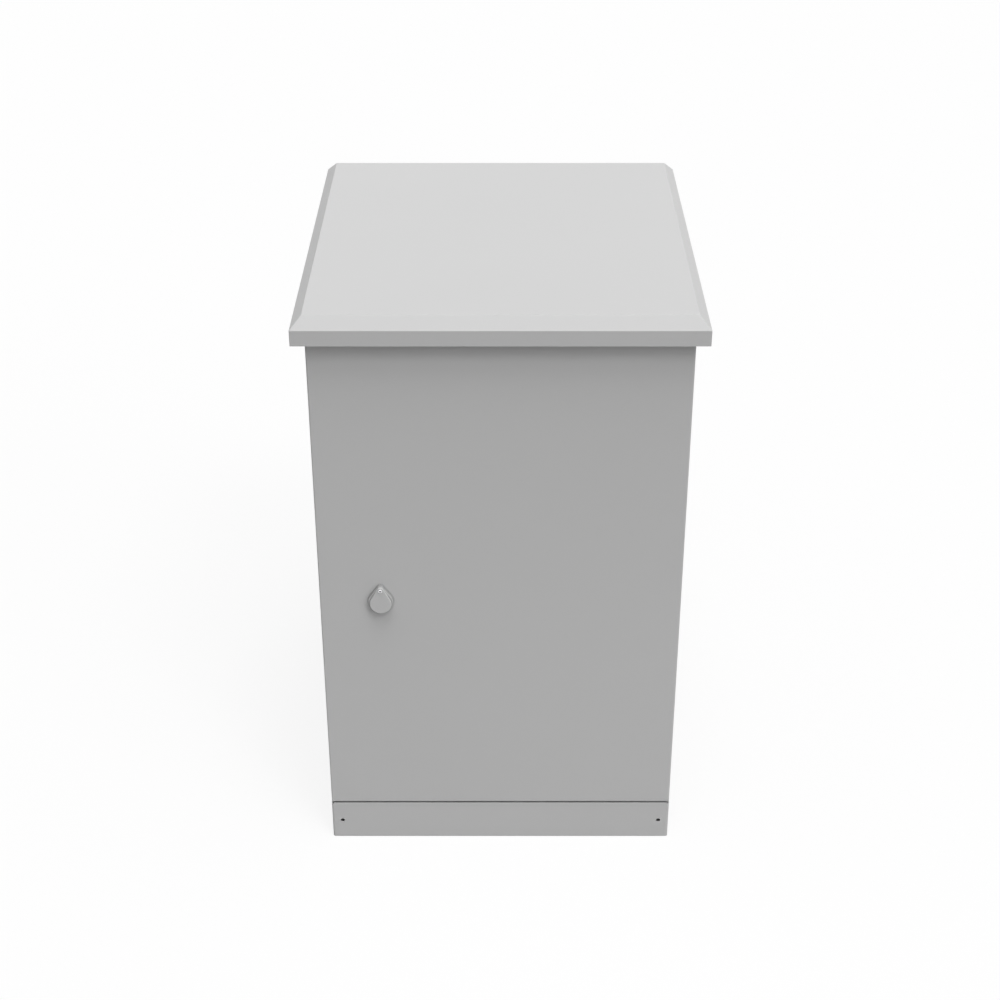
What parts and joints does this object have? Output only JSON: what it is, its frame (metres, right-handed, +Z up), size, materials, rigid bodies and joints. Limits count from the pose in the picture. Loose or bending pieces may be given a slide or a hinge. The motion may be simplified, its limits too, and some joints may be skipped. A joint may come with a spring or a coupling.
{
  "type": "fiber optic cabinet",
  "caption": "Outdoor sheet-steel fibre cabinet on a plinth, with an overhanging hood, one lockable door, and rails, patch panels and splice trays inside.",
  "frame": {"origin": "middle of the footprint on the ground", "axes": "+Z up, the door faces -Y, +X to the right as seen from the front"},
  "size_m": [0.64, 0.72, 1.022],
  "materials": {
    "paint": "light grey powder coat, satin, fine orange peel",
    "inner_paint": "light grey powder coat",
    "zinc": "zinc plated sheet",
    "fasteners": "zinc plated",
    "chrome": "polished",
    "panel": "black powder coat",
    "adapter": "moulded blue",
    "brass": "drawn bar",
    "rubber": "foamed seal",
    "tray_plastic": "moulded",
    "clear_plastic": "smoke grey cover",
    "dark_plastic": "moulded"
  },
  "bodies": {
    "cabinet": {"plinth": "paint", "plinth_bolts": "fasteners", "floor_tray": "inner_paint", "top_tray": "inner_paint", "right_wall": "paint", "left_wall": "paint", "back_wall": "paint", "back_screws": "fasteners", "front_frame": "paint", "roof_hood": "paint", "roof_spacers": "fasteners", "roof_nuts": "fasteners", "hinge_frame_leaf_lower": "zinc", "hinge_frame_leaf_upper": "zinc", "hinge_pin_lower": "fasteners", "hinge_pin_upper": "fasteners", "rail_front_left": "zinc", "rail_front_right": "zinc", "rail_rear_left": "zinc", "rail_rear_right": "zinc", "rail_bolts": "fasteners", "patch_chassis_lower": "panel", "patch_chassis_upper": "panel", "patch_adapters_lower": "adapter", "patch_adapters_upper": "adapter", "panel_screws": "fasteners", "splice_shelf": "zinc", "splice_tray_lower": "tray_plastic", "splice_tray_upper": "tray_plastic", "gland_plate": "zinc", "gland_screws": "fasteners", "cable_glands": "dark_plastic", "gland_locknuts": "dark_plastic", "cable_clamp_bar": "zinc", "earth_bar": "brass", "earth_posts": "fasteners", "fibre_spools": "tray_plastic"},
    "door": {"door_panel": "paint", "door_stiffener_left": "inner_paint", "door_stiffener_right": "inner_paint", "door_seal": "rubber", "hinge_door_leaf_lower": "zinc", "hinge_door_leaf_upper": "zinc", "lock_body": "paint", "cover_rivet": "chrome", "lock_nut": "fasteners", "latch_case": "zinc", "case_nuts": "fasteners", "rod_guides": "dark_plastic", "document_pocket": "dark_plastic"},
    "lock_core": {"lock_spindle": "chrome", "lock_pinion": "zinc", "lock_tongue": "zinc", "tongue_nut": "fasteners"},
    "upper_rod": {"rod_upper": "zinc"},
    "lower_rod": {"rod_lower": "zinc"},
    "cover": {"dust_cover": "paint"},
    "lower_flap": {"patch_flap_lower": "panel"},
    "upper_flap": {"patch_flap_upper": "panel"},
    "tray_lid": {"splice_lid": "clear_plastic"}
  },
  "joints": [
    {"name": "door_hinge", "type": "hinge", "parent": "cabinet", "child": "door", "pos_m": [0.291, -0.3325, 0.526], "axis": [0, 0, 1], "range_deg": [0, 105]},
    {"name": "lock_turn", "type": "hinge", "parent": "door", "child": "lock_core", "pos_m": [-0.198, -0.34, 0.505], "axis": [0, 1, 0], "range_deg": [0, 90]},
    {"name": "upper_rod_slide", "type": "slide", "parent": "door", "child": "upper_rod", "axis": [0, 0, 1], "range_m": [0, 0.0179]},
    {"name": "lower_rod_slide", "type": "slide", "parent": "door", "child": "lower_rod", "axis": [0, 0, -1], "range_m": [0, 0.0179]},
    {"name": "cover_swing", "type": "hinge", "parent": "door", "child": "cover", "pos_m": [-0.198, -0.35, 0.5315], "axis": [0, 1, 0], "range_deg": [-115, 115]},
    {"name": "lower_flap_hinge", "type": "hinge", "parent": "cabinet", "child": "lower_flap", "pos_m": [0, -0.213, 0.7467], "axis": [1, 0, 0], "range_deg": [0, 100]},
    {"name": "upper_flap_hinge", "type": "hinge", "parent": "cabinet", "child": "upper_flap", "pos_m": [0, -0.213, 0.8356], "axis": [1, 0, 0], "range_deg": [0, 100]},
    {"name": "tray_lid_hinge", "type": "hinge", "parent": "cabinet", "child": "tray_lid", "pos_m": [0, 0.008, 0.3689], "axis": [-1, 0, 0], "range_deg": [0, 100]}
  ],
  "couplings": [
    {"joint": "upper_rod_slide", "follows": "lock_turn", "m_per_rad": 0.011375},
    {"joint": "lower_rod_slide", "follows": "lock_turn", "m_per_rad": 0.011375}
  ]
}
